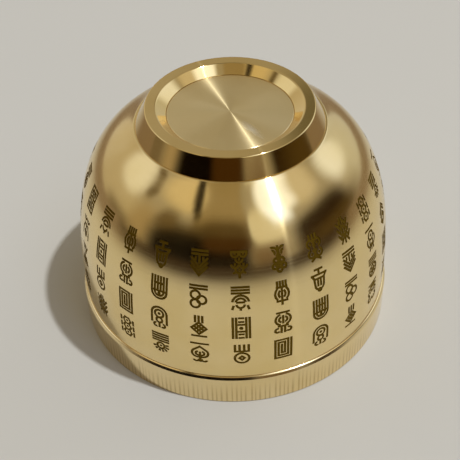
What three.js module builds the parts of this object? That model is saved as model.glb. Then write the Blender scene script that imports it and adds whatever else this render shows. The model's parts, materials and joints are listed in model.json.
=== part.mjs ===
// Treasure bowl: a small turned brass bowl, shown mouth down, as it stands on its rim.
// Millimetres, +Z up. The origin is the centre of the mouth plane, and Z is the axis of turning.
// Four turned pieces: the shell, a hoop pressed on its lip, a ring foot soldered to its
// crown, and a faced disc let into the foot. Every piece is a revolved profile.

import * as THREE from 'three';

// Overall sizes
const RIM_RADIUS = 37.5; // outside of the hoop, the widest part of the bowl
const BOWL_HEIGHT = 56.4; // mouth plane to the face of the foot
const JOINT_GAP = 0.3; // clearance wherever two pieces meet

// Hoop round the lip
const RIM_BAND_HEIGHT = 7.8; // mouth plane to the outer corner of the ledge
const RIM_BAND_THICKNESS = 1.5;
const RIM_EDGE = 0.3; // bevel on the outer corner of the lip
const LEDGE_WIDTH = 0.6; // how far the hoop stands proud of the body
const LEDGE_HEIGHT = 0.55; // rise of the bevel that leads back to the body

// Shell: a nearly upright wall that turns over quickly into the crown
const WALL = 2.5; // even wall, measured square to the surface
const BASE_THICKNESS = 3.5; // solid left under the foot
const FLOOR_BLEND = 5.0; // height of the curve between the inner wall and the floor
const LIP_EDGE = 0.5; // bevel on the inner corner of the lip
const WALL_LEAN = THREE.MathUtils.degToRad(1.1); // the wall opens by this much above the hoop
const CROWN_SLOPE = THREE.MathUtils.degToRad(40); // fall of the crown where it meets the foot
const WALL_FULLNESS = 0.856; // reach of the wall's handle, of the height it climbs
const CROWN_FULLNESS = 0.38; // reach of the crown's handle, of the width it closes

// Ring foot, with a tapered mirror wall and a coned recess
const FOOT_HEIGHT = 4.4;
const FOOT_BASE_RADIUS = 21.15;
const FOOT_FACE_RADIUS = 18.75;
const FOOT_EDGE = 0.25; // bevel between the wall of the foot and its face
const FOOT_SHOULDER = 0.35; // flat that the crown keeps round the foot
const RECESS_RADIUS = 16.35; // mouth of the recess
const DISC_SEAT_RADIUS = 14.1; // bottom of the cone, and the bore that the disc sits in
const RECESS_DEPTH = 1.9;
const TENON_HEIGHT = 0.8; // boss on the crown that centres the foot
const DISC_EDGE = 0.2; // bevel round the faced disc

// Facets
const TURN_STEPS = 80; // round the axis
const WALL_STEPS = 22; // along the curve of the body
const BLEND_STEPS = 5;

// Places that follow from the sizes
const ledgeTop = RIM_BAND_HEIGHT + LEDGE_HEIGHT;
const bodyStart = new THREE.Vector2(RIM_RADIUS - LEDGE_WIDTH, ledgeTop + JOINT_GAP);
const seatHeight = BOWL_HEIGHT - FOOT_HEIGHT;
const bodyEnd = new THREE.Vector2(FOOT_BASE_RADIUS + FOOT_SHOULDER, seatHeight);
const floorHeight = seatHeight - BASE_THICKNESS;
const hoopBore = RIM_RADIUS - RIM_BAND_THICKNESS;
const spigotRadius = hoopBore - JOINT_GAP;
const tenonRadius = DISC_SEAT_RADIUS - JOINT_GAP;
const tenonTop = seatHeight + TENON_HEIGHT;
const discFace = BOWL_HEIGHT - RECESS_DEPTH;

const point = (radius, height) => new THREE.Vector2(radius, height);

// The outer line of the body, from the hoop up to the foot
function bodyCurve() {
  const climb = bodyEnd.y - bodyStart.y;
  const closing = bodyStart.x - bodyEnd.x;
  const wallHandle = point(Math.tan(WALL_LEAN), 1).multiplyScalar(WALL_FULLNESS * climb);
  const crownHandle = point(1, -Math.tan(CROWN_SLOPE)).multiplyScalar(CROWN_FULLNESS * closing);
  return new THREE.CubicBezierCurve(
    bodyStart,
    bodyStart.clone().add(wallHandle),
    bodyEnd.clone().add(crownHandle),
    bodyEnd,
  );
}

// The point of the inner face that lies square behind the outer line at a share of its length
function innerPoint(curve, share) {
  const along = curve.getTangentAt(share);
  return curve.getPointAt(share).add(point(-along.y, along.x).multiplyScalar(WALL));
}

// Share of the outer line behind which the inner face reaches a height
function shareAtInnerHeight(curve, height) {
  let low = 0;
  let high = 1;
  while (high - low > 1e-6) {
    const middle = (low + high) / 2;
    if (innerPoint(curve, middle).y < height) low = middle;
    else high = middle;
  }
  return low;
}

// Inner face from the lip up the wall, over the blend and in to the axis
function innerLine(curve) {
  const last = shareAtInnerHeight(curve, floorHeight - FLOOR_BLEND);
  const wallPoints = [];
  for (let step = 0; step <= WALL_STEPS; step += 1) {
    wallPoints.push(innerPoint(curve, (last * step) / WALL_STEPS));
  }
  const blendStart = wallPoints[WALL_STEPS];
  const direction = curve.getTangentAt(last);
  const run = FLOOR_BLEND / direction.y;
  const corner = blendStart.clone().addScaledVector(direction, run);
  const blendEnd = point(corner.x - run, floorHeight);
  const blend = new THREE.QuadraticBezierCurve(blendStart, corner, blendEnd);
  return [...wallPoints, ...blend.getPoints(BLEND_STEPS).slice(1), point(0, floorHeight)];
}

// Turns a profile of radius and height about the Z axis
function turned(name, profile, material) {
  const geometry = new THREE.LatheGeometry(profile, TURN_STEPS);
  geometry.rotateX(Math.PI / 2);
  const mesh = new THREE.Mesh(geometry, material);
  mesh.name = name;
  return mesh;
}

// The shell: lip spigot, shoulder, body, seat for the foot, and the tenon that centres it
function bowlShell() {
  const curve = bodyCurve();
  const inner = innerLine(curve);
  const mouthRadius = inner[0].x;
  const profile = [
    ...inner.reverse(),
    point(mouthRadius, LIP_EDGE),
    point(mouthRadius + LIP_EDGE, 0),
    point(spigotRadius, 0),
    point(spigotRadius, bodyStart.y),
    ...curve.getSpacedPoints(WALL_STEPS),
    point(tenonRadius, seatHeight),
    point(tenonRadius, tenonTop),
    point(0, tenonTop),
  ];
  return turned('bowl_shell', profile, brass(0xbfa263, 0.16));
}

// The hoop: slides over the spigot up to the shoulder, and bevels back to the body
function rimBand() {
  const profile = [
    point(hoopBore, 0),
    point(RIM_RADIUS - RIM_EDGE, 0),
    point(RIM_RADIUS, RIM_EDGE),
    point(RIM_RADIUS, RIM_BAND_HEIGHT),
    point(RIM_RADIUS - LEDGE_WIDTH, ledgeTop),
    point(hoopBore, ledgeTop),
    point(hoopBore, 0),
  ];
  return turned('rim_band', profile, brass(0xc4a86c, 0.1));
}

// The ring foot: tapered wall, flat face, and the cone down to the bore for the disc
function footRing() {
  const taper = point(FOOT_FACE_RADIUS - FOOT_BASE_RADIUS, FOOT_HEIGHT).normalize();
  const base = point(FOOT_BASE_RADIUS, seatHeight).addScaledVector(taper, JOINT_GAP / taper.y);
  const top = point(FOOT_FACE_RADIUS, BOWL_HEIGHT);
  const profile = [
    point(DISC_SEAT_RADIUS, base.y),
    base,
    top.clone().addScaledVector(taper, -FOOT_EDGE),
    point(top.x - FOOT_EDGE, top.y),
    point(RECESS_RADIUS, BOWL_HEIGHT),
    point(DISC_SEAT_RADIUS, discFace),
    point(DISC_SEAT_RADIUS, base.y),
  ];
  return turned('foot_ring', profile, brass(0xb08d57, 0.06));
}

// The disc: faced on a lathe, and let into the foot on top of the tenon
function baseDisc() {
  const radius = DISC_SEAT_RADIUS - JOINT_GAP;
  const underside = tenonTop + JOINT_GAP;
  const profile = [
    point(0, underside),
    point(radius, underside),
    point(radius, discFace - DISC_EDGE),
    point(radius - DISC_EDGE, discFace),
    point(0, discFace),
  ];
  return turned('base_disc', profile, brass(0xb8a06a, 0.22));
}

function brass(color, roughness) {
  return new THREE.MeshStandardMaterial({ color, metalness: 1, roughness });
}

const bowl = new THREE.Group();
bowl.add(bowlShell(), rimBand(), footRing(), baseDisc());

export default bowl;
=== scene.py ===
# %% [markdown]
# # A turned brass bowl, standing on its rim
# The bowl comes from a lathe: a shell, a hoop on its lip, a ring foot and a faced disc are all
# turned about one upright axis. What makes it look real is how polished brass mirrors the room,
# the sharp small bevels between the pieces, and four rows of ornaments cut into the wall.
# The CAD model gives the sizes and places. Everything here is built inside its box, in metres.

# %% The frame
import json
import math

import bpy
from mathutils import Matrix, Vector
from mathutils.geometry import delaunay_2d_cdt

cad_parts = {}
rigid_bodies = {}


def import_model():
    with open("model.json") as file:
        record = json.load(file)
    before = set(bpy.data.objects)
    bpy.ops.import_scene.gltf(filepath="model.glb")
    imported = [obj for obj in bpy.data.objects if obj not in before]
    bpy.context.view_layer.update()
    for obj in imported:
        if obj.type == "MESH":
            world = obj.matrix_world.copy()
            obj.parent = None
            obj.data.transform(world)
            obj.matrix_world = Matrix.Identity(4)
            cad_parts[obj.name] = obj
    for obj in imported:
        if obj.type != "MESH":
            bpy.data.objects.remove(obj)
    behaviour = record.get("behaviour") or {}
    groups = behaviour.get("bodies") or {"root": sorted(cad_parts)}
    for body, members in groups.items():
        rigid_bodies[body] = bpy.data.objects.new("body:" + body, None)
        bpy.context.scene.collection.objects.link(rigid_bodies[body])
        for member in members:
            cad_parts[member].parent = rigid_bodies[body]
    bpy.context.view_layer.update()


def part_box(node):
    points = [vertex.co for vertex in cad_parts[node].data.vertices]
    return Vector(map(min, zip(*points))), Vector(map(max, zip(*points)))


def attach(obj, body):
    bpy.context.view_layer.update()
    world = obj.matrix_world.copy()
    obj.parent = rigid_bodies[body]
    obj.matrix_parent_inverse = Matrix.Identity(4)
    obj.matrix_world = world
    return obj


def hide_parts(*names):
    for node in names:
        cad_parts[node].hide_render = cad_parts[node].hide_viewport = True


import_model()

bpy.context.scene.view_settings.view_transform = "Standard"

# %% [markdown]
# ## Sizes
# A lathe piece needs only its profile: a radius for each height. The overall radius and height
# are read from the frame. The small steps and bevels repeat the CAD source's values, in
# millimetres as a turner would write them, and are turned into metres where a mesh is made.
# The pieces of the CAD model keep a wide clearance. Real joints are pressed or soldered, so here
# the same joints are closed down to a hairline.

# %% Sizes from the frame and from the turner's drawing
MM = 0.001
HAIRLINE = 0.03

rim_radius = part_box("rim_band")[1][0] / MM
bowl_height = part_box("foot_ring")[1][2] / MM
print("rim radius and height, mm", round(rim_radius, 3), round(bowl_height, 3))

band_height = 7.8
band_thickness = 1.5
ledge_width = 0.6
ledge_height = 0.55
cad_gap = 0.3

wall = 2.5
base_thickness = 3.5
floor_blend = 5.0
wall_lean = math.radians(1.1)
crown_slope = math.radians(40)
wall_fullness = 0.856
crown_fullness = 0.38

foot_height = 4.4
foot_base_radius = 21.15
foot_face_radius = 18.75
foot_shoulder = 0.35
recess_radius = 16.35
disc_seat_radius = 14.1
recess_depth = 1.9
tenon_height = 0.8

ledge_top = band_height + ledge_height
seat_height = bowl_height - foot_height
hoop_bore = rim_radius - band_thickness
disc_face = bowl_height - recess_depth

# %% [markdown]
# ## The camera
# The photograph's camera was found by fitting the circles of the rim and the foot: it stands
# 26 cm away, in front and above, with a slightly long lens, and is tilted a little to one side.
# Its place is written from the centre of the mouth plane.

# %% The camera
camera_distance = 0.17902
camera_height = 0.18423
camera_pitch = math.radians(42.71)
camera_yaw = math.radians(-0.26)
camera_roll = math.radians(-1.73)
sensor = 36.0
image_size = 460
focal_pixels = 1000


def new_object(name, data):
    """An object that holds the data, in the scene."""
    made = bpy.data.objects.new(name, data)
    bpy.context.scene.collection.objects.link(made)
    return made


camera_data = bpy.data.cameras.new("camera")
camera_data.sensor_width = sensor
camera_data.lens = focal_pixels * sensor / image_size
camera_data.clip_start = 0.01
camera_data.clip_end = 20
camera = new_object("camera", camera_data)
camera.matrix_world = (
    Matrix.Translation((0, -camera_distance, camera_height))
    @ Matrix.Rotation(-camera_yaw, 4, "Z")
    @ Matrix.Rotation(math.radians(90) - camera_pitch, 4, "X")
    @ Matrix.Rotation(camera_roll, 4, "Z")
)
bpy.context.scene.camera = camera
print("lens, mm", round(camera_data.lens, 2))

# %% [markdown]
# ## Small helpers for node trees
# Shader trees, world trees and geometry trees are all wired the same way, so one helper adds a
# node and fills its inputs: a socket becomes a link, anything else becomes the input's value.
# The others add the nodes that are used most, and pass on the socket with their result.

# %% Helpers that add nodes
def add(tree, kind, inputs=None, **settings):
    made = tree.nodes.new(kind)
    for name, value in settings.items():
        setattr(made, name, value)
    for name, value in (inputs or {}).items():
        socket = made.inputs[name]
        if isinstance(value, bpy.types.NodeSocket):
            tree.links.new(value, socket)
        else:
            socket.default_value = value
    return made


def maths(tree, operation, *values):
    return add(tree, "ShaderNodeMath", dict(enumerate(values)), operation=operation).outputs[0]


def split(tree, vector):
    return add(tree, "ShaderNodeSeparateXYZ", {0: vector}).outputs


def vector_of(tree, *parts):
    return add(tree, "ShaderNodeCombineXYZ", dict(enumerate(parts))).outputs[0]


def length(tree, vector):
    return add(tree, "ShaderNodeVectorMath", {0: vector}, operation="LENGTH").outputs["Value"]


def place_on_piece(tree):
    return add(tree, "ShaderNodeTexCoord").outputs["Object"]


def noise(tree, place, scale, detail):
    inputs = {"Vector": place, "Scale": scale, "Detail": detail}
    return add(tree, "ShaderNodeTexNoise", inputs).outputs["Fac"]


def mapped(tree, value, start, end, top=1.0, way="LINEAR"):
    """0 where the value is start, top where it is end, and never outside them."""
    ends = {"Value": value, 1: start, 2: end, 4: top}
    return add(tree, "ShaderNodeMapRange", ends, interpolation_type=way).outputs[0]


def mixed(tree, share, *colours, **settings):
    """A mix of two colours, each a socket or plain red, green and blue."""
    ends = [c if isinstance(c, bpy.types.NodeSocket) else (*c, 1) for c in colours]
    inputs = {0: share, 6: ends[0], 7: ends[1]}
    return add(tree, "ShaderNodeMix", inputs, data_type="RGBA", **settings).outputs[2]


def show_mixed(tree, output, share, first, second):
    """Ends a tree in a mix of two shaders."""
    shown = add(tree, "ShaderNodeMixShader", {0: share, 1: first.outputs[0], 2: second.outputs[0]})
    add(tree, output, {"Surface": shown.outputs[0]})


# %% [markdown]
# ## The studio
# Polished metal has no colour of its own to show, only the room in it. The photograph's bowl
# mirrors a bright window at the front right, soft light from both sides, and the dim, warm room
# behind the camera. The room is painted on the world as soft patches, each with a direction, a
# size and a colour. Cards and area lamps could do this too, but a painted patch has no edge of
# its own and needs no geometry. One small, strong lamp adds what a patch is too soft for: the
# clear shadow on the floor, and the thin line across the faced disc.
# A mirror ray that misses the nearby floor should meet this dim room, so the floor darkens with
# distance for mirror rays alone. The camera sees a plain pale floor and a white background.

# %% The room that the brass mirrors
def direction_angles(tree):
    """Azimuth from the camera's side, positive towards +X, and elevation, both in degrees."""
    x, y, z = split(tree, add(tree, "ShaderNodeTexCoord").outputs["Generated"])
    azimuth = maths(tree, "DEGREES", maths(tree, "ARCTAN2", x, maths(tree, "MULTIPLY", y, -1)))
    return azimuth, maths(tree, "DEGREES", maths(tree, "ARCSINE", z))


def patch_mask(tree, azimuth, elevation, centre, size, softness):
    """1 inside an oval of directions, 0 outside, with a soft edge that is a share of its size."""
    squareness = 3
    across = maths(tree, "WRAP", maths(tree, "SUBTRACT", azimuth, centre[0]), 180, -180)
    up = maths(tree, "SUBTRACT", elevation, centre[1])
    shares = []
    for offset, half in ((across, size[0]), (up, size[1])):
        share = maths(tree, "ABSOLUTE", maths(tree, "DIVIDE", offset, half))
        shares.append(maths(tree, "POWER", share, squareness))
    reach = maths(tree, "POWER", maths(tree, "ADD", *shares), 1 / squareness)
    return mapped(tree, reach, 1 + softness, 1 - softness, way="SMOOTHSTEP")


ROOM_WALLS = (0.38, 0.34, 0.27)
# Name, centre (azimuth, elevation), half size in degrees, softness, colour
ROOM_PATCHES = [
    ("ceiling", (0, 100), (400, 24), 0.3, (0.19, 0.165, 0.125)),
    ("far right wall", (140, 12), (26, 26), 0.6, (0.58, 0.58, 0.57)),
    ("far left wall", (-142, 12), (26, 28), 0.6, (0.62, 0.58, 0.52)),
    ("left wall", (-100, 12), (36, 20), 0.6, (0.48, 0.42, 0.32)),
    ("left window", (-111, 36), (17, 11), 0.4, (0.82, 0.82, 0.84)),
    ("upper left wall", (-68, 63), (31, 13), 0.4, (0.68, 0.57, 0.37)),
    ("lower left wall", (-73, 14), (11, 22), 0.6, (0.38, 0.30, 0.19)),
    ("low bench", (-94, -1), (14, 9), 0.6, (0.18, 0.14, 0.09)),
    ("curtain fold", (-89.5, 44), (4.5, 5), 0.5, (0.12, 0.085, 0.04)),
    ("dim middle", (-12, 56), (26, 40), 0.2, (0.33, 0.26, 0.15)),
    ("shade in the middle", (-8, 32), (24, 20), 0.4, (0.09, 0.06, 0.025)),
    ("shade at the left", (-40.5, 20), (23.5, 19), 0.5, (0.06, 0.04, 0.015)),
    ("shade over the bench", (-58, 35), (8, 11), 0.6, (0.14, 0.10, 0.05)),
    ("dark doorway", (-24.5, 0), (38.5, 27), 0.2, (0.003, 0.0015, 0.0005)),
    ("brown door", (-5, 22), (18, 9), 0.3, (0.055, 0.024, 0.004)),
    ("door edge, top", (-58, 69.5), (7.5, 4), 0.4, (0.010, 0.006, 0.003)),
    ("door edge", (-50, 64.5), (5.5, 4.5), 0.4, (0.010, 0.006, 0.003)),
    ("door edge, below", (-43, 58.5), (4.2, 5), 0.4, (0.010, 0.006, 0.003)),
    ("door edge, foot", (-37, 52), (3.4, 5), 0.6, (0.08, 0.06, 0.03)),
    ("pale screen", (28, 40), (14, 21), 0.14, (0.70, 0.66, 0.56)),
    ("foot of the screen", (26, 8), (13, 10), 0.4, (0.17, 0.115, 0.065)),
    ("upper right wall", (84, 52), (17, 11), 0.4, (0.64, 0.58, 0.48)),
    ("window", (54, 60), (21, 13), 0.3, (1.22, 1.32, 1.65)),
    ("window pane", (46, 50), (10, 12), 0.5, (1.22, 1.42, 2.10)),
    ("dark cupboard", (73, 12), (27, 21), 0.3, (0.022, 0.011, 0.003)),
    ("low shelf", (80, 2), (26, 9), 0.8, (0.075, 0.046, 0.012)),
    ("right window", (127, 33), (22, 13), 0.35, (0.92, 0.97, 1.12)),
    ("dark frame", (173.2, 36.2), (3.2, 2.6), 0.5, (0.15, 0.13, 0.08)),
]


def paint_room():
    world = bpy.data.worlds.new("room")
    world.use_nodes = True
    bpy.context.scene.world = world
    tree = world.node_tree
    tree.nodes.clear()
    azimuth, elevation = direction_angles(tree)
    colour = ROOM_WALLS
    for name, centre, size, softness, tint in ROOM_PATCHES:
        mask = patch_mask(tree, azimuth, elevation, centre, size, softness)
        colour = mixed(tree, mask, colour, tint, label=name)
    room = add(tree, "ShaderNodeBackground", {"Color": colour, "Strength": 1.0})
    white = add(tree, "ShaderNodeBackground", {"Color": (1, 1, 1, 1), "Strength": 1.0})
    seen = add(tree, "ShaderNodeLightPath").outputs["Is Camera Ray"]
    show_mixed(tree, "ShaderNodeOutputWorld", seen, room, white)
    print("room patches", len(ROOM_PATCHES))


paint_room()

# %% The key lamp
KEY_AZIMUTH = math.radians(71.8)
KEY_ELEVATION = math.radians(67.5)
KEY_DISTANCE = 5.0
KEY_WIDTH = math.radians(2)
KEY_RADIANCE = 1500.0
KEY_COLOUR = (0.97, 1.0, 1.05)


def key_lamp():
    """A soft square lamp, whose width is an angle as seen from the bowl."""
    level = math.cos(KEY_ELEVATION)
    sideways = math.sin(KEY_AZIMUTH) * level
    forward = -math.cos(KEY_AZIMUTH) * level
    toward = Vector((sideways, forward, math.sin(KEY_ELEVATION)))
    data = bpy.data.lights.new("key_light", "AREA")
    data.shape = "SQUARE"
    data.size = 2 * KEY_DISTANCE * math.tan(KEY_WIDTH / 2)
    data.color = KEY_COLOUR
    data.energy = KEY_RADIANCE * math.pi * data.size**2
    key = new_object("key_light", data)
    key.location = toward * KEY_DISTANCE + Vector((0, 0, bowl_height * MM / 2))
    key.rotation_euler = toward.to_track_quat("Z", "Y").to_euler()


key_lamp()

# %% The pale floor
FLOOR_COLOUR = (0.58, 0.565, 0.515, 1)
FLOOR_BEYOND = (0.24, 0.18, 0.13)
FLOOR_SHADED = (0.035, 0.020, 0.009)
FLOOR_HALF = 3.0
FLOOR_FADE = (0.09, 0.26)
FRONT_SHADE = (0.02, -0.14)


def new_material(name):
    """A material whose node tree is still empty, and that tree."""
    material = bpy.data.materials.new(name)
    material.use_nodes = True
    material.node_tree.nodes.clear()
    return material, material.node_tree


def pale_floor():
    mesh = bpy.data.meshes.new("floor")
    corners = [(x * FLOOR_HALF, y * FLOOR_HALF, 0) for x, y in ((-1, -1), (1, -1), (1, 1), (-1, 1))]
    mesh.from_pydata(corners, [], [(0, 1, 2, 3)])
    floor = new_object("floor", mesh)
    material, tree = new_material("pale_floor")
    place = place_on_piece(tree)
    fade = mapped(tree, length(tree, place), *FLOOR_FADE, way="SMOOTHSTEP")
    shade = mapped(tree, split(tree, place)[1], *FRONT_SHADE, way="SMOOTHSTEP")
    mirrored = add(tree, "ShaderNodeLightPath").outputs["Is Glossy Ray"]
    plain = add(tree, "ShaderNodeBsdfDiffuse", {"Color": FLOOR_COLOUR})
    beyond = mixed(tree, shade, FLOOR_BEYOND, FLOOR_SHADED)
    dim = add(tree, "ShaderNodeEmission", {"Color": beyond, "Strength": 1.0})
    gone = maths(tree, "MULTIPLY", fade, mirrored)
    show_mixed(tree, "ShaderNodeOutputMaterial", gone, plain, dim)
    mesh.materials.append(material)


pale_floor()

# %% [markdown]
# ## Finishes
# A lathe tool leaves hair-fine rings, and they do two things: they stretch every highlight square
# to the rings, and up close they break it into threads. The stretch is the shader's anisotropy,
# with a tangent that runs round the axis. The threads are a noise that is long round the bowl
# and short across the rings, in a node group that every brass here shares. The finest rings
# spread light further along than one lobe of the shader can, so a small share of a second, far
# narrower lobe is mixed in. It draws the thin line on the disc and down the wall. Another group
# gives the soft smears that handling leaves. The disc has a hazy wipe beside its line as well.
# The hoop has painted reflection above the lip that it stands on: upright darker streaks that
# stand in for the cloth's weave mirrored in it.

# %% Turning marks and smears, shared by every brass
DEEP_MARKS = (0.54, 0.66)
SMEARS = (0.38, 0.66)


def new_group(name, inputs, outputs):
    group = bpy.data.node_groups.new(name, "ShaderNodeTree")
    for label, value in inputs.items():
        socket = group.interface.new_socket(label, in_out="INPUT", socket_type="NodeSocketFloat")
        socket.default_value = value
    for label in outputs:
        group.interface.new_socket(label, in_out="OUTPUT", socket_type="NodeSocketFloat")
    return group, group.nodes.new("NodeGroupInput").outputs, group.nodes.new("NodeGroupOutput").inputs


def turning_marks_group():
    sizes = {"Rings per mm": 3.0, "Unevenness": 0.5}
    group, given, result = new_group("turning_marks", sizes, ["Height", "Deep marks"])
    x, y, z = split(group, place_on_piece(group))
    radius = length(group, vector_of(group, x, y))
    rings = maths(group, "MULTIPLY", given["Rings per mm"], 1 / MM)
    across = [maths(group, "MULTIPLY", way, rings) for way in (radius, z)]
    round_bowl = 12.0
    around = [maths(group, "MULTIPLY", way, round_bowl) for way in (x, y)]
    threads = add(group, "ShaderNodeTexNoise", {
        "Vector": vector_of(group, *across, around[0]),
        "W": around[1],
        "Scale": 1.0,
        "Detail": 3.0,
        "Roughness": given["Unevenness"],
    }, noise_dimensions="4D").outputs["Fac"]
    group.links.new(threads, result["Height"])
    group.links.new(mapped(group, threads, *DEEP_MARKS), result["Deep marks"])
    return group


def handling_group():
    group, given, result = new_group("handling", {"Smear size": 0.012}, ["Smears"])
    scale = maths(group, "DIVIDE", 1.0, given["Smear size"])
    smears = noise(group, place_on_piece(group), scale, detail=4.0)
    group.links.new(mapped(group, smears, *SMEARS), result["Smears"])
    return group


TURNING = turning_marks_group()
HANDLING = handling_group()
print("shared groups", TURNING.name, HANDLING.name)

# %% The brasses
BODY_COLOURS = ((0.92, 0.73, 0.37), (0.88, 0.68, 0.31))
HOOP_COLOURS = ((0.90, 0.73, 0.41), (0.86, 0.68, 0.35))
FOOT_COLOURS = ((0.87, 0.67, 0.31), (0.83, 0.62, 0.26))
DISC_COLOURS = ((0.94, 0.78, 0.44), (0.90, 0.73, 0.39))
RING_DEPTH = 0.0001
SMEAR_ROUGHNESS = 0.02
FINEST_ROUGHNESS = 0.15
FINEST_STRETCH = 0.9
QUARTER_TURN = 0.25


def brass(name, colours, roughness, rings, stretch, torn=0.0, fine=0.0):
    """Polished brass with rings in 1/mm; fine is the share of the finest rings, which draw a line."""
    material, tree = new_material(name)
    marks = add(tree, "ShaderNodeGroup", {"Rings per mm": rings}, node_tree=TURNING)
    smears = add(tree, "ShaderNodeGroup", node_tree=HANDLING).outputs["Smears"]
    colour = mixed(tree, smears, *colours)
    rough = maths(tree, "MULTIPLY_ADD", smears, SMEAR_ROUGHNESS, roughness)
    rough = maths(tree, "MULTIPLY_ADD", marks.outputs["Deep marks"], torn, rough)
    bump = {"Height": marks.outputs["Height"], "Distance": RING_DEPTH * MM}
    around = add(tree, "ShaderNodeTangent", direction_type="RADIAL", axis="Z").outputs[0]
    shader = add(tree, "ShaderNodeBsdfPrincipled", {
        "Base Color": colour,
        "Metallic": 1.0,
        "Roughness": rough,
        "Anisotropic": stretch,
        "Anisotropic Rotation": QUARTER_TURN,
        "Normal": add(tree, "ShaderNodeBump", bump).outputs[0],
        "Tangent": around,
    })
    finest = add(tree, "ShaderNodeBsdfAnisotropic", {
        "Color": colour,
        "Roughness": FINEST_ROUGHNESS,
        "Anisotropy": FINEST_STRETCH,
        "Tangent": around,
    })
    show_mixed(tree, "ShaderNodeOutputMaterial", fine, shader, finest)
    return material


BODY_BRASS = brass("body_finish", BODY_COLOURS, 0.095, rings=14.0, stretch=1.0, torn=0.05, fine=0.035)
MIRROR_BRASS = brass("mirror_finish", FOOT_COLOURS, 0.07, rings=4.0, stretch=0.2, fine=0.02)


def toned(material, mask, tint, **blend):
    """Mixes a tint into the metal's colour where the mask is 1, in both of its lobes."""
    tree = material.node_tree
    lobes = [node.inputs[0] for node in tree.nodes if node.type in ("BSDF_PRINCIPLED", "BSDF_GLOSSY")]
    tinted = mixed(tree, mask, lobes[0].links[0].from_socket, tint, **blend)
    for colour in lobes:
        tree.links.new(tinted, colour)
    return material


# %% The disc's brass, with a hazy wipe beside its bright line
WIPE_TURN = math.radians(34)
WIPE_RADIUS = 8.2
WIPE_LENGTH = 4.2
WIPE_WIDTH = 1.1
WIPE_SHARE = 0.7
WIPE_ROUGHNESS = 0.16
WIPE_TINT = (1.0, 0.93, 0.76)
WIPE_THREADS = 1.5
WIPE_BREAKS = 1.6
WIPE_LEAST = 0.2
WIPE_EDGE = 0.9
THREAD_NARROWING = 5.0


def wipe(tree):
    """1 in the middle of an oval that lies along a radius of the disc, broken into threads."""
    middle = Vector((math.sin(WIPE_TURN), -math.cos(WIPE_TURN), 0)) * WIPE_RADIUS * MM
    from_middle = {0: place_on_piece(tree), 1: middle}
    moved = add(tree, "ShaderNodeVectorMath", from_middle, operation="SUBTRACT").outputs[0]
    to_radius = {"Vector": moved, "Angle": math.radians(90) - WIPE_TURN}
    spun = add(tree, "ShaderNodeVectorRotate", to_radius, rotation_type="Z_AXIS").outputs[0]
    x, y, _ = split(tree, spun)
    along = maths(tree, "DIVIDE", x, WIPE_LENGTH * MM)
    across = maths(tree, "DIVIDE", y, WIPE_WIDTH * MM)
    reach = length(tree, vector_of(tree, along, across))
    narrow = maths(tree, "MULTIPLY", across, THREAD_NARROWING)
    threads = noise(tree, vector_of(tree, along, narrow), WIPE_THREADS, detail=3.0)
    broken = maths(tree, "MULTIPLY_ADD", threads, WIPE_BREAKS, WIPE_LEAST)
    return mapped(tree, maths(tree, "SUBTRACT", broken, reach), 0.0, WIPE_EDGE, top=WIPE_SHARE)


def faced_brass():
    material = brass("faced_finish", DISC_COLOURS, 0.22, rings=14.0, stretch=1.0, torn=0.02, fine=0.06)
    tree = material.node_tree
    hazy = wipe(tree)
    shader = next(node for node in tree.nodes if node.type == "BSDF_PRINCIPLED")
    rough = shader.inputs["Roughness"]
    hazier = maths(tree, "MULTIPLY_ADD", hazy, WIPE_ROUGHNESS, rough.links[0].from_socket)
    tree.links.new(hazier, rough)
    return toned(material, hazy, WIPE_TINT)


FACED_BRASS = faced_brass()

# %% The hoop's brass, with painted reflection of the cloth's weave above the lip
# Painted reflection: the cloth's weave, mirrored in the hoop, is painted as darker upright streaks.
WEAVE_STREAKS = 214
WEAVE_WOBBLE = 12
WEAVE_WANDER = 300.0
WEAVE_HEIGHT = 6.5
WEAVE_BREAKS = 1.4
WEAVE_LEAST = 0.1
WEAVE_EDGE = (-0.2, 0.5)
WEAVE_REFLECTION_TINT = (0.70, 0.66, 0.58)


def rub_marks(tree):
    """Painted reflection: upright dark streaks for the cloth's weave mirrored in the hoop, evenly set
    round it, that thin out above the lip.
    """
    x, y, z = split(tree, place_on_piece(tree))
    wander = noise(tree, vector_of(tree, x, y), WEAVE_WANDER, detail=2.0)
    wobble = maths(tree, "MULTIPLY", wander, WEAVE_WOBBLE)
    phase = maths(tree, "MULTIPLY_ADD", maths(tree, "ARCTAN2", x, y), WEAVE_STREAKS, wobble)
    streak = mapped(tree, maths(tree, "SINE", phase), 0.0, 1.0)
    height = maths(tree, "DIVIDE", z, WEAVE_HEIGHT * MM)
    reach = maths(tree, "MULTIPLY_ADD", wander, WEAVE_BREAKS, WEAVE_LEAST)
    left = mapped(tree, maths(tree, "SUBTRACT", reach, height), *WEAVE_EDGE)
    return maths(tree, "MULTIPLY", streak, left)


def rubbed_brass():
    material = brass("rim_finish", HOOP_COLOURS, 0.12, rings=4.0, stretch=0.3)
    # Painted reflection: darker colour in upright streaks above the lip stands in for the mirrored
    # weave.
    return toned(material, rub_marks(material.node_tree), WEAVE_REFLECTION_TINT, blend_type="MULTIPLY")


RIM_BRASS = rubbed_brass()

# %% The etched floor of the ornaments
ETCHED_COLOURS = ((0.17, 0.100, 0.007), (0.25, 0.160, 0.016))
ETCHED_ROUGHNESS = 0.7
GRAIN_SCALE = 6000.0
GRAIN_DEPTH = 0.03
PATINA_SCALE = 400.0


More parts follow.
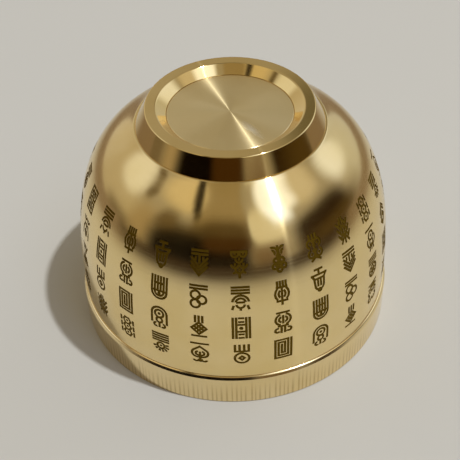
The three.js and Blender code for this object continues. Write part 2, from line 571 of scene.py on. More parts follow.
def etched_brass():
    material, tree = new_material("etched_brass")
    place = place_on_piece(tree)
    grain = {"Height": noise(tree, place, GRAIN_SCALE, detail=3.0), "Distance": GRAIN_DEPTH * MM}
    patina = noise(tree, place, PATINA_SCALE, detail=2.0)
    shader = add(tree, "ShaderNodeBsdfPrincipled", {
        "Base Color": mixed(tree, patina, *ETCHED_COLOURS),
        "Metallic": 1.0,
        "Roughness": ETCHED_ROUGHNESS,
        "Normal": add(tree, "ShaderNodeBump", grain).outputs[0],
    })
    add(tree, "ShaderNodeOutputMaterial", {"Surface": shader.outputs[0]})
    return material


ETCHED_BRASS = etched_brass()
print("finishes", [m.name for m in (BODY_BRASS, RIM_BRASS, MIRROR_BRASS, FACED_BRASS, ETCHED_BRASS)])

# %% [markdown]
# ## A lathe made of nodes
# Every piece here is turned, so one Geometry Nodes tree makes them all. Its input is a mesh that
# holds only the profile's points in order, with the way the surface faces at each of them. The
# tree makes a grid, one column for each step round the axis, and puts each grid point at its
# profile point's radius, turned by its step. Merging the doubles closes the seam and the poles.
# A Screw modifier or bmesh's spin could turn the profile too. The tree is chosen because it also
# carries the exact facing round, and a mirror finish shows the smallest error in it.

# %% Helpers for geometry trees
def geometry_tree(name, inputs):
    """A tree with a geometry input and output and the named inputs, each given as a kind."""
    tree = bpy.data.node_groups.new(name, "GeometryNodeTree")
    tree.interface.new_socket("Geometry", in_out="INPUT", socket_type="NodeSocketGeometry")
    for label, kind in inputs.items():
        tree.interface.new_socket(label, in_out="INPUT", socket_type="NodeSocket" + kind)
    tree.interface.new_socket("Geometry", in_out="OUTPUT", socket_type="NodeSocketGeometry")
    return tree, tree.nodes.new("NodeGroupInput").outputs, tree.nodes.new("NodeGroupOutput").inputs[0]


def whole(tree, operation, first, second):
    return add(tree, "FunctionNodeIntegerMath", {0: first, 1: second}, operation=operation).outputs[0]


def turned(tree, flat, angle):
    """A vector in the profile's plane, turned by angle from the camera's side towards +X."""
    across, _, up = split(tree, flat)
    x = maths(tree, "MULTIPLY", across, maths(tree, "SINE", angle))
    y = maths(tree, "MULTIPLY", across, maths(tree, "MULTIPLY", maths(tree, "COSINE", angle), -1))
    return vector_of(tree, x, y, up)


def worked(tree, kind, geometry, inputs=None, **settings):
    """What a node that takes in geometry puts out."""
    return add(tree, kind, {"Geometry": geometry, **(inputs or {})}, **settings).outputs[0]


def stored(tree, geometry, name, value):
    settings = {"data_type": "FLOAT_VECTOR", "domain": "POINT"}
    inputs = {"Name": name, "Value": value}
    return worked(tree, "GeometryNodeStoreNamedAttribute", geometry, inputs, **settings)


def attribute(tree, name, kind):
    return add(tree, "GeometryNodeInputNamedAttribute", {"Name": name}, data_type=kind).outputs[0]


def sampled(tree, geometry, value, index, kind):
    inputs = {"Value": value, "Index": index}
    return worked(tree, "GeometryNodeSampleIndex", geometry, inputs, data_type=kind, domain="POINT")


def run_tree(piece, tree, values):
    """Adds the tree as a modifier with its inputs set, and returns the piece's evaluated mesh."""
    modifier = piece.modifiers.new(tree.name, "NODES")
    modifier.node_group = tree
    for item in tree.interface.items_tree:
        if item.in_out == "INPUT" and item.name in values:
            modifier[item.identifier] = values[item.name]
    bpy.context.view_layer.update()
    evaluated = piece.evaluated_get(bpy.context.evaluated_depsgraph_get())
    mesh = bpy.data.meshes.new_from_object(evaluated)
    bpy.data.objects.remove(piece)
    if mesh.materials[0] is None:
        mesh.materials.pop(index=0)
    return mesh


# %% The lathe tree
TURN_STEPS = 200
MERGE = 0.001


def lathe_parts(tree, profile, steps):
    """The turned surface of a profile's points, open where two neighbours are both marked gap."""
    count = add(tree, "GeometryNodeAttributeDomainSize", {"Geometry": profile}).outputs["Point Count"]
    rows = whole(tree, "ADD", count, 1)
    corners = {"Vertices X": whole(tree, "ADD", steps, 1), "Vertices Y": rows}
    grid = add(tree, "GeometryNodeMeshGrid", corners).outputs["Mesh"]
    index = add(tree, "GeometryNodeInputIndex").outputs[0]
    step = whole(tree, "DIVIDE_FLOOR", index, rows)
    point = whole(tree, "MODULO", whole(tree, "MODULO", index, rows), count)
    angle = maths(tree, "MULTIPLY", maths(tree, "DIVIDE", step, steps), math.tau)
    position = add(tree, "GeometryNodeInputPosition").outputs[0]
    place = turned(tree, sampled(tree, profile, position, point, "FLOAT_VECTOR"), angle)
    facing = attribute(tree, "facing", "FLOAT_VECTOR")
    facing = turned(tree, sampled(tree, profile, facing, point, "FLOAT_VECTOR"), angle)
    gap = sampled(tree, profile, attribute(tree, "gap", "BOOLEAN"), point, "BOOLEAN")
    gap = add(tree, "GeometryNodeFieldOnDomain", {0: gap}, data_type="BOOLEAN").outputs[0]
    faced = stored(tree, grid, "facing", facing)
    placed = worked(tree, "GeometryNodeSetPosition", faced, {"Position": place})
    return worked(tree, "GeometryNodeDeleteGeometry", placed, {"Selection": gap}, domain="FACE")


def finished_parts(tree, geometry, material):
    """Welds the parts, shades them smooth, makes them real and sets their material."""
    merged = worked(tree, "GeometryNodeMergeByDistance", geometry, {"Distance": MERGE * MM})
    smooth = worked(tree, "GeometryNodeSetShadeSmooth", merged)
    real = worked(tree, "GeometryNodeRealizeInstances", smooth)
    return worked(tree, "GeometryNodeSetMaterial", real, {"Material": material})


def lathe_tree():
    tree, given, result = geometry_tree("lathe", {"Steps": "Int", "Material": "Material"})
    surface = lathe_parts(tree, given["Geometry"], given["Steps"])
    tree.links.new(finished_parts(tree, surface, given["Material"]), result)
    return tree


LATHE = lathe_tree()
print("lathe nodes", len(LATHE.nodes))

# %% [markdown]
# ## From a turner's outline to a profile
# An outline lists its corners as radius, height and easing, in millimetres, going round so that
# the metal is on the left. No turned edge is a true corner: a touch of the tool or the polishing
# wheel eases it, and that narrow round is what draws the thin bright lines on the bowl. Each
# corner becomes a short curve that runs tangent into both its sides, and the facing is worked out
# with it, so flat faces stay optically flat right up to the easing.

# %% Eased outlines and their facing
EASE_STEPS = 5


def facing_of(start, end):
    """The way a side faces, with the metal on its left: to the right of its direction."""
    along = (end - start).normalized()
    return Vector((along.y, -along.x))


def rounded(start, corner, end, t):
    """A place on the short curve that runs tangent into both sides of a corner."""
    return start * (1 - t) ** 2 + corner * 2 * t * (1 - t) + end * t**2


def eased_outline(corners):
    """Points (place, facing) of a closed outline whose corners are (radius, height, easing)."""
    places = [Vector(corner[:2]) for corner in corners]
    points = []
    for i, (_, _, easing) in enumerate(corners):
        here = places[i]
        before = places[i - 1]
        after = places[(i + 1) % len(places)]
        face_in = facing_of(before, here)
        face_out = facing_of(here, after)
        if easing == 0:
            points.append((here, (face_in + face_out).normalized()))
            continue
        start = here + (before - here).normalized() * easing
        end = here + (after - here).normalized() * easing
        for step in range(EASE_STEPS + 1):
            t = step / EASE_STEPS
            facing = (face_in * (1 - t) + face_out * t).normalized()
            points.append((rounded(start, here, end, t), facing))
    return points


def profile_object(name, points, gaps):
    """Loose points in the XZ plane, with their facing, and with the marked ones left open between."""
    mesh = bpy.data.meshes.new(name)
    mesh.from_pydata([(place.x * MM, 0, place.y * MM) for place, _ in points], [], [])
    facing = mesh.attributes.new("facing", "FLOAT_VECTOR", "POINT")
    for i, (_, way) in enumerate(points):
        facing.data[i].vector = (way.x, 0, way.y)
    gap = mesh.attributes.new("gap", "BOOLEAN", "POINT")
    for i in gaps:
        gap.data[i].value = True
    return new_object(name, mesh)


# %% Finished pieces
def measure(mesh):
    """Triangles, and the volume in cubic centimetres, which is above 0 if the faces point out."""
    mesh.calc_loop_triangles()
    volume = 0.0
    for triangle in mesh.loop_triangles:
        a, b, c = (mesh.vertices[i].co for i in triangle.vertices)
        volume += a.dot(b.cross(c)) / 6
    return len(mesh.loop_triangles), round(volume * 1e6, 2)


def finished_piece(name, mesh, node):
    """Puts a finished mesh into the scene under its name, in the place of its CAD node."""
    mesh.name = name
    piece = new_object(name, mesh)
    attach(piece, "root")
    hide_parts(node)
    print(name, "triangles and volume", measure(mesh))


def turned_piece(name, points, material, node, gaps=()):
    profile = profile_object(name + "_profile", points, gaps)
    mesh = run_tree(profile, LATHE, {"Steps": TURN_STEPS, "Material": material})
    ways = [tuple(item.vector) for item in mesh.attributes["facing"].data]
    mesh.attributes.remove(mesh.attributes["facing"])
    mesh.normals_split_custom_set_from_vertices(ways)
    finished_piece(name, mesh, node)


# %% [markdown]
# ## The hoop on the rim
# A plain hoop is pressed over the shell's thin lip. It is a little wider than the wall above it,
# and a narrow ledge leads from one to the other, rounded over at its crest. The ledge's steep
# side faces the dim room behind the camera and mirrors it as a dark line round the bowl.

# %% The hoop
def hoop_points():
    edge_down = 0.2
    crest_in = 0.33
    crest_down = 0.15
    corners = [
        (hoop_bore, 0, 0.2),
        (rim_radius, 0, 0.3),
        (rim_radius, band_height - edge_down, 0.05),
        (rim_radius - crest_in, ledge_top - crest_down, 0.1),
        (rim_radius - ledge_width, ledge_top, 0.02),
        (hoop_bore, ledge_top, 0.1),
    ]
    return eased_outline(corners)


turned_piece("rim_hoop", hoop_points(), RIM_BRASS, "rim_band")

# %% [markdown]
# ## The ring foot and the faced disc
# The foot is a thick ring with a leaning outer wall, a flat face, and a dished inner cone that
# runs down to a disc. The disc was faced on the lathe: the tool moved straight across while it
# span, and its marks throw the bow-tie highlight that crosses every faced disc of metal.

# %% The foot and the disc
def foot_points():
    lean = (foot_base_radius - foot_face_radius) / foot_height
    base = seat_height + HAIRLINE
    corners = [
        (disc_seat_radius, base, 0.1),
        (foot_base_radius - lean * HAIRLINE, base, 0.06),
        (foot_face_radius, bowl_height, 0.22),
        (recess_radius, bowl_height, 0.28),
        (disc_seat_radius, disc_face, 0.1),
    ]
    return eased_outline(corners)


def disc_points():
    base = seat_height + tenon_height + HAIRLINE
    radius = disc_seat_radius - HAIRLINE
    facing_rows = 6
    across = [radius * i / facing_rows for i in range(facing_rows)]
    corners = [
        (0, base, 0),
        (radius, base, 0.1),
        (radius, disc_face, 0.22),
        *[(r, disc_face, 0) for r in reversed(across)],
    ]
    points = eased_outline(corners)
    points[0] = (points[0][0], Vector((0, -1)))
    points[-1] = (points[-1][0], Vector((0, 1)))
    return points


turned_piece("ring_foot", foot_points(), MIRROR_BRASS, "foot_ring")
ends_on_axis = (0, -1)
turned_piece("faced_disc", disc_points(), FACED_BRASS, "base_disc", gaps=ends_on_axis)

# %% [markdown]
# ## The shell's outline
# The wall leans out a little, then curves over into the crown: one cubic Bezier curve, as in the
# CAD source. It is made as a real Curve object too, because the engraving will be wrapped on the
# wall by its length. The inside follows the outside at the wall's thickness and rounds into a
# flat floor.

# %% The body curve
BODY_EASE = 0.15


def body_handles():
    foot_of_wall = Vector((rim_radius - ledge_width, ledge_top + cad_gap))
    shoulder = Vector((foot_base_radius + foot_shoulder, seat_height))
    rise = seat_height - foot_of_wall.y
    run = foot_of_wall.x - shoulder.x
    low = foot_of_wall + Vector((math.tan(wall_lean), 1)) * wall_fullness * rise
    high = shoulder + Vector((1, -math.tan(crown_slope))) * crown_fullness * run
    return foot_of_wall, low, high, shoulder


def body_table(steps=2000):
    """Places along the body curve, each with its arc length from the ledge, in millimetres."""
    a, b, c, d = body_handles()
    rows = []
    arc = 0.0
    for i in range(steps + 1):
        t = i / steps
        place = a * (1 - t) ** 3 + b * 3 * t * (1 - t) ** 2 + c * 3 * t**2 * (1 - t) + d * t**3
        if rows:
            arc += (place - rows[-1][1]).length
        rows.append((arc, place))
    return rows


BODY = body_table()
BODY_LENGTH = BODY[-1][0]


def body_at(arc):
    """The body curve's place at a length along it."""
    i = max(1, next((k for k, row in enumerate(BODY) if row[0] >= arc), len(BODY) - 1))
    (start, low), (end, high) = BODY[i - 1:i + 1]
    return low.lerp(high, (arc - start) / (end - start))


def body_facing(arc):
    near = 0.05
    return facing_of(body_at(max(0, arc - near)), body_at(min(BODY_LENGTH, arc + near)))


print("body length, mm", round(BODY_LENGTH, 3))

# %% [markdown]
# ## The ornaments
# Four rows of small ornaments are cut into the wall, upright when the bowl is turned mouth up.
# They are frets, lattices and common emblems of good luck, such as a coin, a gourd, a knot and a
# lotus, drawn as even strokes with square ends, as a small cutter would draw them. Each is a
# short function that returns its strokes as flat outlines, in millimetres, in a box of about 4.3
# by 6.3. A drawing program could make them too, but strokes written in code need no file.

# %% Strokes
STROKE = 0.58
EDGE = 1.84
TOP = 2.84
ARC_STEP = 22.5


def polar(x, y, radius, turn):
    angle = math.radians(turn)
    return Vector((x + radius * math.cos(angle), y + radius * math.sin(angle)))


def line(x0, y0, x1, y1):
    """A straight stroke with square ends."""
    start = Vector((x0, y0))
    end = Vector((x1, y1))
    ahead = (end - start).normalized() * STROKE / 2
    left = Vector((-ahead.y, ahead.x))
    return [start - ahead + left, start - ahead - left, end + ahead - left, end + ahead + left]


def bow(x, y, radius, start, end):
    """A stroke along an arc, between two angles."""
    start, end = sorted((start, end))
    steps = max(2, math.ceil((end - start) / ARC_STEP))
    turns = [start + (end - start) * i / steps for i in range(steps + 1)]
    outer = [polar(x, y, radius + STROKE / 2, turn) for turn in turns]
    inner = [polar(x, y, radius - STROKE / 2, turn) for turn in reversed(turns)]
    return outer + inner


def bows(x, y, radii, start, end):
    return [bow(x, y, radius, start, end) for radius in radii]


def ring(x, y, radius):
    """A round stroke in two halves, which overlap by a degree."""
    return [bow(x, y, radius, 0, 181), bow(x, y, radius, 180, 361)]


def dot(x, y, radius):
    return [polar(x, y, radius, turn) for turn in range(0, 360, 45)]


def path(*points):
    return [line(*a, *b) for a, b in zip(points, points[1:])]


def bars(x0, x1, *heights):
    return [line(x0, y, x1, y) for y in heights]


def shelves(*heights):
    """Bars over the full width."""
    return bars(-EDGE, EDGE, *heights)


def posts(y0, y1, *places):
    return [line(x, y0, x, y1) for x in places]


def both(*shapes):
    """The shapes and their mirror images left of the middle."""
    return list(shapes) + [[Vector((-p.x, p.y)) for p in reversed(shape)] for shape in shapes]


def spokes(x, y, inner, outer, turns):
    return [line(*polar(x, y, inner, turn), *polar(x, y, outer, turn)) for turn in turns]


# %% The ornaments, one function each
def coin():
    window = path((0, 1.8), (0.6, 1.2), (0, 0.6), (-0.6, 1.2), (0, 1.8))
    return ring(0, 1.2, 1.6) + window + bars(-1.5, 1.5, -0.95) + posts(-0.95, -TOP, -1.5, -0.5, 0.5, 1.5)


def gourd():
    cradle = both(line(EDGE, 1.7, EDGE, -0.95)) + [bow(0, -0.95, 1.86, 180, 360)]
    fruit = ring(0, -0.95, 1.05) + ring(0, 0.9, 0.72) + [dot(0, -0.95, 0.42), line(0, 1.7, 0, TOP)]
    return cradle + fruit + both(bow(0.85, 2.45, 0.5, -100, 130))


def endless_knot():
    lattice = []
    for step in (-0.84, -0.28, 0.28, 0.84):
        lattice.append(line(step - 0.84, -0.3 - step, step + 0.84, 1.38 - step))
        lattice.append(line(step - 0.84, 1.38 + step, step + 0.84, -0.3 + step))
    return lattice + posts(-1.5, -TOP, 0) + posts(-1.3, -TOP, -0.8, 0.8) + bars(-1.5, 1.5, TOP)


def cloud():
    upper = both(bow(0.97, 1.95, 0.86, -90, 200), dot(0.97, 1.95, 0.36), bow(0.97, -0.1, 0.86, -200, 90))
    return upper + both(dot(0.97, -0.1, 0.36)) + shelves(-1.6, -TOP) + bars(-1.0, 1.0, -2.2)


def lotus():
    petals = both(bow(-1.1, 1.1, 1.7, -20, 50), bow(0.1, 0.9, 1.7, -60, 30), line(EDGE, 2.3, EDGE, 1.2))
    water = both(bow(0.98, -2.75, 0.85, 0, 180), dot(0.98, -2.6, 0.3)) + bars(-1.2, 1.2, -0.9)
    return petals + water + posts(1.9, -0.3, 0)


def vase():
    body = both(*bows(0.2, -0.85, (0.75, 1.55), -75, 75)) + posts(0.1, -1.8, 0)
    neck = bars(-1.0, 1.0, 1.0) + posts(1.0, TOP, -0.4, 0.4) + both(bow(1.3, 2.2, 0.55, -120, 150))
    return body + neck + bars(-1.3, 1.3, -TOP)


def canopy():
    roof = bows(0, 0.95, (1.84, 1.1), 0, 180) + shelves(0.75) + [dot(0, 1.4, 0.45)]
    return roof + posts(0.75, -TOP, -1.84, -1.1, -0.36, 0.36, 1.1, 1.84) + bars(-1.1, 1.1, -1.2)


def linked_rings():
    links = ring(0.7, 1.75, 1.05) + ring(-0.7, 0.65, 1.05) + ring(0.7, -0.5, 1.05)
    return links + shelves(-2.1, -TOP)


def wheel():
    rim = ring(0, 1.0, 1.74) + [dot(0, 1.0, 0.4)] + spokes(0, 1.0, 0.4, 1.6, range(0, 360, 45))
    return rim + shelves(-1.35, -2.1, -TOP)


def ingot():
    boat = bows(0, 1.0, (1.84, 1.1), 185, 355) + bars(-0.7, 0.7, 0.95) + [bow(0, 1.5, 0.9, 0, 180)]
    rays = posts(2.5, TOP, 0) + both(line(1.6, 2.0, 1.8, 2.62))
    return boat + rays + shelves(-1.4, -2.12, -TOP)


def fan():
    leaf_edges = bows(0, -1.4, (4.1, 3.35, 2.1), 64, 116)
    ribs = spokes(0, -1.4, 2.1, 3.9, (64, 77, 90, 103, 116)) + posts(-0.9, 0.5, 0)
    return ribs + leaf_edges + both(line(0.45, -0.9, 1.5, -TOP)) + bars(-0.6, 0.6, -TOP, -2.1)


def lantern():
    sides = both(*bows(-0.5, 0.2, (1.3, 2.1), -45, 45)) + posts(1.6, -1.2, 0)
    caps = bars(-1.1, 1.1, 2.0, -1.5) + posts(2.0, TOP, 0)
    return sides + caps + posts(-1.5, -TOP, -1.0, -0.33, 0.33, 1.0)


def bell():
    shell = both(line(1.1, 1.4, 1.3, -0.6), line(1.3, -0.6, EDGE, -1.5)) + [bow(0, 1.3, 1.1, 0, 180)]
    bands = shelves(-1.5) + bars(-1.2, 1.2, -0.5) + posts(1.3, -0.4, -0.37, 0.37)
    return shell + bands + ring(0, 2.5, 0.35) + posts(-1.5, -2.3, 0) + bars(-0.9, 0.9, -TOP)


def mountain():
    peaks = []
    for height in (2.7, 1.75, 0.8):
        peaks += both(line(0, height, EDGE, height - 2.0))
    base = shelves(-2.05, -TOP) + posts(-0.2, -2.0, 0)
    return peaks + base + both(line(0.9, -0.9, 0.9, -1.3))


def pearl():
    flames = both(bow(0.1, 0.4, 1.74, -30, 75), line(0.75, 2.2, 0.9, TOP), bow(-0.3, 0.9, 1.05, -30, 60))
    ball = ring(0, -0.9, 1.1) + [dot(0, -0.9, 0.42)]
    return ball + flames + posts(1.4, TOP, 0) + shelves(-TOP)


def lozenges():
    nested = []
    for reach in (1.75, 0.95):
        nested += path((0, reach + 1), (reach, 1), (0, 1 - reach), (-reach, 1), (0, reach + 1))
    for drop in (0.3, 1.2):
        nested += path((-1.75, -drop), (0, -drop - 1.75), (1.75, -drop))
    return nested


def fish_scales():
    scales = shelves(-TOP)
    for y in (-2.6, -0.2):
        scales += both(bow(0.98, y, 0.86, 0, 180), line(0.98, y, 0.98, y + 0.15))
    for y in (-1.4, 1.0):
        scales += [bow(0, y, 0.86, 0, 180), line(0, y, 0, y + 0.15)]
    return scales + both(bow(1.3, 1.3, 0.5, 60, 250)) + posts(2.0, TOP, 0)


def blossom():
    petals = [dot(0, 1.1, 0.42)]
    for turn in range(90, 450, 72):
        middle = polar(0, 1.1, 1.16, turn)
        petals += ring(middle.x, middle.y, 0.55)
    return petals + posts(-0.3, -TOP, 0) + both(*bows(1.3, -1.6, (0.5, 1.2), 130, 290))


def butterfly():
    upper = both(bow(0.98, 1.3, 0.86, -80, 250), dot(0.98, 1.3, 0.36), line(0.2, 2.3, 1.1, TOP))
    lower = both(bow(0.95, -1.0, 0.86, -230, 80), dot(0.95, -1.0, 0.36))
    return upper + lower + posts(1.8, -TOP, 0) + both(line(0.9, -2.2, 0.9, -TOP))


def bamboo():
    stems = posts(-TOP, 1.0, -0.37, 0.37) + bars(-0.37, 0.37, -1.0, 0.9)
    leaves = []
    for y in (-1.6, -0.2, 1.2):
        leaves += both(*path((0.8, y - 0.5), (1.2, y + 0.5), (EDGE, y - 0.4)))
    return stems + leaves + both(line(0.3, 1.4, 1.2, 2.7)) + posts(1.4, TOP, 0)


def tortoise_cells():
    cells = []
    for y in (1.9, 0, -1.9):
        cells += both(*path((0.55, y + 0.9), (1.1, y), (0.55, y - 0.9)))
        cells += both(line(EDGE, y + 0.5, EDGE, y - 0.5))
        cells += [line(-0.5, y - 0.9, 0.5, y - 0.9), dot(0, y, 0.36)]
    return cells + bars(-0.5, 0.5, 2.8)


def fret():
    """A square spiral, as on old bronzes."""
    outer = path((-EDGE, -TOP), (-EDGE, TOP), (EDGE, TOP), (EDGE, -TOP), (-1.1, -TOP), (-1.1, 2.08))
    middle = path((-1.1, 2.08), (1.1, 2.08), (1.1, -2.08), (-0.36, -2.08))
    return outer + middle + path((-0.36, -2.08), (-0.36, 1.3), (0.36, 1.3), (0.36, -1.3))


def paired_frets():
    hook = path((0.36, TOP), (EDGE, TOP), (EDGE, 0.36), (0.36, 0.36))
    upper = both(*hook, *path((0.36, 0.36), (0.36, 2.0), (1.08, 2.0), (1.08, 1.2)))
    return upper + [[-p for p in stroke] for stroke in upper]


def window_lattice():
    panes = path((-1.1, 1.0), (1.1, 1.0), (1.1, -1.0), (-1.1, -1.0), (-1.1, 1.0)) + [dot(0, 0, 0.5)]
    outer = both(line(EDGE, TOP, EDGE, -TOP), line(1.1, 1.0, 1.1, TOP), line(1.1, -1.0, 1.1, -TOP))
    return panes + outer + bars(-0.4, 0.4, 1.8, TOP, -1.8, -TOP)


def rising_sun():
    rays = spokes(0, 0.9, 1.5, 1.75, range(15, 200, 30))
    return rays + ring(0, 0.9, 0.9) + [dot(0, 0.9, 0.34)] + shelves(-0.65, -1.38, -2.11, -TOP)


def peach():
    fruit = both(bow(0.5, 0.2, 1.34, -70, 130), line(1.0, -1.1, 0, -1.9), bow(0.35, 0.3, 0.62, -80, 110))
    twig = posts(1.5, 0.0, 0) + posts(1.6, TOP, 0) + both(bow(0.9, 2.3, 0.6, 10, 200))
    return fruit + twig + shelves(-TOP)


def stone_chime():
    stone = both(*path((0, 2.3), (EDGE, 0.9), (1.5, 0.1), (0, 1.35)))
    pendants = both(line(0.75, 0.0, 0.75, -TOP), line(1.5, -0.6, 1.5, -TOP))
    return stone + posts(0.6, -TOP, 0) + pendants + bars(-1.5, 1.5, -1.5) + bars(-0.8, 0.8, TOP)


ORNAMENTS = [
    coin, fret, gourd, endless_knot, cloud, lotus, window_lattice, vase, canopy,
    linked_rings, wheel, paired_frets, ingot, lantern, bell, mountain, pearl, lozenges,
    fish_scales, blossom, butterfly, bamboo, tortoise_cells, rising_sun, peach, stone_chime, fan,
]
print("ornaments", len(ORNAMENTS))

# %% [markdown]
# ## From a drawing to a cut tile
# An ornament becomes a tile of the wall, still flat. A constrained Delaunay triangulation lays the
# strokes over the tile's grid and keeps track of which triangles lie in a stroke. Those sink to
# the depth of the cut, and walls close the step, so the cut is real and not a painted bump. A
# boolean would do the same slowly. The grid in the tile lets it bend when it is wrapped, and
# neighbours share the grid's border points, so they weld into one surface.

# %% Cut tiles
COLUMNS = 25
ROWS = 4
TILE_HEIGHT = 8.04
FIRST_ROW_EDGE = 3.27
GRID_ACROSS = 8
GRID_UP = 7
CUT_DEPTH = 0.12
tile_width = math.tau * (rim_radius - ledge_width) / COLUMNS


def tile_grid():
    """Points and faces of a plain tile, centred on its middle."""
    across = [(column / GRID_ACROSS - 0.5) * tile_width for column in range(GRID_ACROSS + 1)]
    up = [(row / GRID_UP - 0.5) * TILE_HEIGHT for row in range(GRID_UP + 1)]
    over = GRID_ACROSS + 1
    starts = [row * over + column for row in range(GRID_UP) for column in range(GRID_ACROSS)]
    faces = [[a, a + 1, a + 1 + over, a + over] for a in starts]
    return [Vector((x, y)) for y in up for x in across], faces


def cut_tile(strokes):
    """Points, faces and the part of each face: 0 plain, 1 the floor of a cut, 2 its wall."""
    points, faces = tile_grid()
    plain = len(faces)
    decimals = 3
    for stroke in strokes:
        first = len(points)
        points += [Vector((round(-p.x, decimals), round(-p.y, decimals))) for p in stroke]
        faces.append(list(range(first, len(points))))
    only_faces = 1
    near = 0.003
    flat, _, triangles, _, _, sources = delaunay_2d_cdt(points, [], faces, only_faces, near, True)
    in_cut = [any(source >= plain for source in found) for found in sources]
    places = [(p.x, p.y, 0.0) for p in flat]
    sunk = {}
    for triangle, cut in zip(triangles, in_cut):
        for i in triangle if cut else ():
            if i not in sunk:
                sunk[i] = len(places)
                places.append((flat[i].x, flat[i].y, -CUT_DEPTH))
    made = [[sunk[i] for i in t] if cut else list(t) for t, cut in zip(triangles, in_cut)]
    parts = [1 if cut else 0 for cut in in_cut]
    edges = [[(t[i - 1], t[i]) for i in range(3)] for t in triangles]
    plain_edges = {edge for found, cut in zip(edges, in_cut) if not cut for edge in found}
    for a, b in [edge for found, cut in zip(edges, in_cut) if cut for edge in found]:
        if (b, a) in plain_edges:
            made.append([sunk[b], sunk[a], a, b])
            parts.append(2)
    used = sorted({i for face in made for i in face})
    renumbered = {i: number for number, i in enumerate(used)}
    return [places[i] for i in used], [[renumbered[i] for i in face] for face in made], parts


def tile_collection():
    tiles = bpy.data.collections.new("ornament_tiles")
    for number, ornament in enumerate(ORNAMENTS):
        places, faces, parts = cut_tile(ornament())
        name = f"tile_{number:02d}_{ornament.__name__}"
        mesh = bpy.data.meshes.new(name)
        mesh.from_pydata([[value * MM for value in place] for place in places], [], faces)
        mesh.attributes.new("part", "INT", "FACE").data.foreach_set("value", parts)
        tiles.objects.link(bpy.data.objects.new(name, mesh))
    sizes = [len(tile.data.polygons) for tile in tiles.objects]
    print("tiles", len(sizes), "faces from", min(sizes), "to", max(sizes))
    return tiles


TILES = tile_collection()

# %% [markdown]
# ## Wrapping the tiles on the wall
# The tree lays the tiles out flat, in columns and rows, and then wraps them. Across becomes the
# turn round the axis. Up becomes a length along the body curve, and Sample Curve gives the place
# there and its tangent, so the ornaments keep their height where the wall curves over. Depth goes
# square to the wall. The rest of the shell comes from the lathe's nodes in the same tree, open
# where the wrapped wall fits in, and one merge welds all of it.

# %% The shell's tree
def wrapped(tree, flat, given):
    """Bends flat geometry on the body: x goes round, y along the curve, z out of the surface."""
    x, y, z = split(tree, add(tree, "GeometryNodeInputPosition").outputs[0])
    circumference = maths(tree, "MULTIPLY", given["Tile width"], given["Columns"])
    share = maths(tree, "DIVIDE", x, circumference)
    angle = maths(tree, "MULTIPLY_ADD", share, math.tau, given["First turn"])
    info = add(tree, "GeometryNodeObjectInfo", {"Object": given["Body curve"]})
    along = {"Curves": info.outputs["Geometry"], "Length": maths(tree, "ADD", y, given["First edge"])}
    curve = add(tree, "GeometryNodeSampleCurve", along, mode="LENGTH").outputs
    tangent = split(tree, curve["Tangent"])
    outward = vector_of(tree, tangent[2], 0, maths(tree, "MULTIPLY", tangent[0], -1))
    deep = add(tree, "ShaderNodeVectorMath", {0: outward, "Scale": z}, operation="SCALE").outputs[0]
    place = add(tree, "ShaderNodeVectorMath", {0: curve["Position"], 1: deep}, operation="ADD")
    faced = stored(tree, flat, "facing", turned(tree, outward, angle))
    placed = {"Position": turned(tree, place.outputs[0], angle)}
    return worked(tree, "GeometryNodeSetPosition", faced, placed)


def laid_out_tiles(tree, given):
    """One tile for each column and row, in turn from the collection, still flat."""
    columns = given["Columns"]
    index = add(tree, "GeometryNodeInputIndex").outputs[0]
    column = whole(tree, "MODULO", index, columns)
    row = whole(tree, "DIVIDE_FLOOR", index, columns)
    half_tile = maths(tree, "DIVIDE", given["Tile height"], 2)
    x = maths(tree, "MULTIPLY", column, given["Tile width"])
    y = maths(tree, "MULTIPLY_ADD", row, given["Tile height"], half_tile)
    count = whole(tree, "MULTIPLY", columns, given["Rows"])
    points = add(tree, "GeometryNodePoints", {"Count": count, "Position": vector_of(tree, x, y)})
    tiles = {"Collection": given["Tiles"], "Separate Children": True, "Reset Children": True}
    tiles = add(tree, "GeometryNodeCollectionInfo", tiles)
    shifted = whole(tree, "ADD", column, whole(tree, "MULTIPLY", row, given["Row shift"]))
    laid = add(tree, "GeometryNodeInstanceOnPoints", {
        "Points": points.outputs[0],
        "Instance": tiles.outputs[0],
        "Pick Instance": True,
        "Instance Index": whole(tree, "MODULO", shifted, given["Kinds"]),
    })
    return worked(tree, "GeometryNodeRealizeInstances", laid.outputs[0])


def shell_tree():
    tree, given, result = geometry_tree("engraved_shell", {
        "Steps": "Int", "Material": "Material", "Cut material": "Material",
        "Tiles": "Collection", "Kinds": "Int", "Body curve": "Object",
        "Columns": "Int", "Rows": "Int", "Row shift": "Int",
        "Tile width": "Float", "Tile height": "Float", "First edge": "Float", "First turn": "Float",
    })
    joined = add(tree, "GeometryNodeJoinGeometry")
    tree.links.new(lathe_parts(tree, given["Geometry"], given["Steps"]), joined.inputs[0])
    tree.links.new(wrapped(tree, laid_out_tiles(tree, given), given), joined.inputs[0])
    shell = finished_parts(tree, joined.outputs[0], given["Material"])
    above_plain = {2: attribute(tree, "part", "INT"), 3: 0}
    cut = add(tree, "FunctionNodeCompare", above_plain, data_type="INT", operation="GREATER_THAN")
    etched = {"Selection": cut.outputs[0], "Material": given["Cut material"]}
    tree.links.new(worked(tree, "GeometryNodeSetMaterial", shell, etched), result)
    return tree


SHELL_TREE = shell_tree()
print("shell nodes", len(SHELL_TREE.nodes))

# %% The shell's profile, outside the engraved band
CURVE_ROW = 1.3


def body_rows(start, end):
    """Points of the body curve and its facing, evenly spaced along it."""
    count = max(1, round(abs(end - start) / CURVE_ROW))
    arcs = [start + (end - start) * i / count for i in range(count + 1)]
    return [(body_at(arc), body_facing(arc)) for arc in arcs]


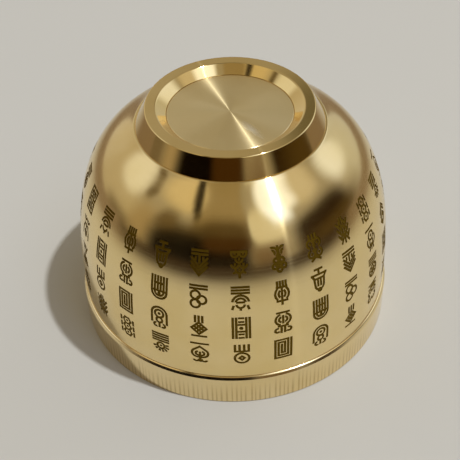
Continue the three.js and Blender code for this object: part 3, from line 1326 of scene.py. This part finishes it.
def inner_rows():
    """The inside: square behind the body at the wall's thickness, then a round into the floor."""
    floor_height = seat_height - base_thickness
    blend_height = floor_height - floor_blend
    rows = []
    arc = 0.0
    while not rows or rows[-1][0].y <= blend_height:
        facing = body_facing(arc)
        rows.append((body_at(arc) - facing * wall, -facing))
        arc += CURVE_ROW
    rows.pop()
    start, facing = rows[-1]
    upward = Vector((facing.y, -facing.x)) * -1
    corner = start + upward * (floor_height - start.y) / upward.y
    end = Vector((corner.x - (corner - start).length, floor_height))
    blend_steps = 10
    for step in range(1, blend_steps + 1):
        t = step / blend_steps
        way = (corner - start) * (1 - t) + (end - corner) * t
        rows.append((rounded(start, corner, end, t), -facing_of(Vector((0, 0)), way)))
    floor_rows = 8
    for step in range(1, floor_rows + 1):
        rows.append((Vector((end.x * (1 - step / floor_rows), floor_height)), Vector((0, -1))))
    return list(reversed(rows))


def shell_profile():
    """Inside from the axis down to the lip, up the spigot, and on over the wall and the crown."""
    inside = inner_rows()
    mouth = inside[-1][0]
    spigot = hoop_bore - HAIRLINE
    foot_of_wall = body_handles()[0]
    ledge = ledge_top + HAIRLINE
    lean = math.tan(wall_lean) * (foot_of_wall.y - ledge)
    band_end = FIRST_ROW_EDGE + ROWS * TILE_HEIGHT
    lip = eased_outline([
        (*mouth, 0),
        (mouth.x, 0, 0.5),
        (spigot, 0, 0.15),
        (spigot, ledge, 0.05),
        (foot_of_wall.x - lean, ledge, 0.14),
        (*foot_of_wall, 0),
    ])[1:-1]
    tenon = disc_seat_radius - HAIRLINE
    tenon_top = seat_height + tenon_height
    just_short = 0.99
    top = eased_outline([
        (*body_at(BODY_LENGTH - BODY_EASE), 0),
        (*body_at(BODY_LENGTH), BODY_EASE * just_short),
        (tenon, seat_height, 0.05),
        (tenon, tenon_top, 0.1),
        (0, tenon_top, 0),
    ])[1:-1]
    below = body_rows(0, FIRST_ROW_EDGE)
    above = body_rows(band_end, BODY_LENGTH - BODY_EASE)
    axis = [(Vector((0, tenon_top)), Vector((0, 1)))]
    points = inside + lip + below + above + top + axis
    band_gap = len(inside) + len(lip) + len(below) - 1
    return points, (band_gap, band_gap + 1, *ends_on_axis)


# %% The engraved shell
ROW_SHIFT = 6
FIRST_COLUMN = math.radians(1.8)


def body_curve_object():
    """The body curve as a Bezier curve in metres, drawn in the XZ plane."""
    data = bpy.data.curves.new("body_curve", "CURVE")
    data.dimensions = "3D"
    spline = data.splines.new("BEZIER")
    spline.bezier_points.add(1)
    spline.resolution_u = 1000
    foot_of_wall, low, high, shoulder = [Vector((p.x, 0, p.y)) * MM for p in body_handles()]
    start, end = spline.bezier_points
    start.co, start.handle_left, start.handle_right = foot_of_wall, foot_of_wall, low
    end.co, end.handle_left, end.handle_right = shoulder, high, shoulder
    return new_object("body_curve", data)


def set_facing(mesh):
    """Exact facing on the turned surface and the floors of the cuts; walls keep their own."""
    ways = [item.vector.copy() for item in mesh.attributes["facing"].data]
    parts = [item.value for item in mesh.attributes["part"].data]
    corners = []
    for polygon, part in zip(mesh.polygons, parts):
        own = polygon.normal.copy()
        corners += [own if part == 2 else ways[i] for i in polygon.vertices]
    mesh.normals_split_custom_set(corners)
    mesh.attributes.remove(mesh.attributes["facing"])


def engraved_shell():
    curve = body_curve_object()
    mesh = run_tree(profile_object("shell_profile", *shell_profile()), SHELL_TREE, {
        "Steps": TURN_STEPS, "Material": BODY_BRASS, "Cut material": ETCHED_BRASS,
        "Tiles": TILES, "Kinds": len(ORNAMENTS), "Body curve": curve,
        "Columns": COLUMNS, "Rows": ROWS, "Row shift": ROW_SHIFT,
        "Tile width": tile_width * MM, "Tile height": TILE_HEIGHT * MM,
        "First edge": FIRST_ROW_EDGE * MM, "First turn": FIRST_COLUMN,
    })
    for helper in (curve, *TILES.objects):
        bpy.data.objects.remove(helper)
    bpy.data.collections.remove(TILES)
    set_facing(mesh)
    finished_piece("engraved_shell", mesh, "bowl_shell")


engraved_shell()
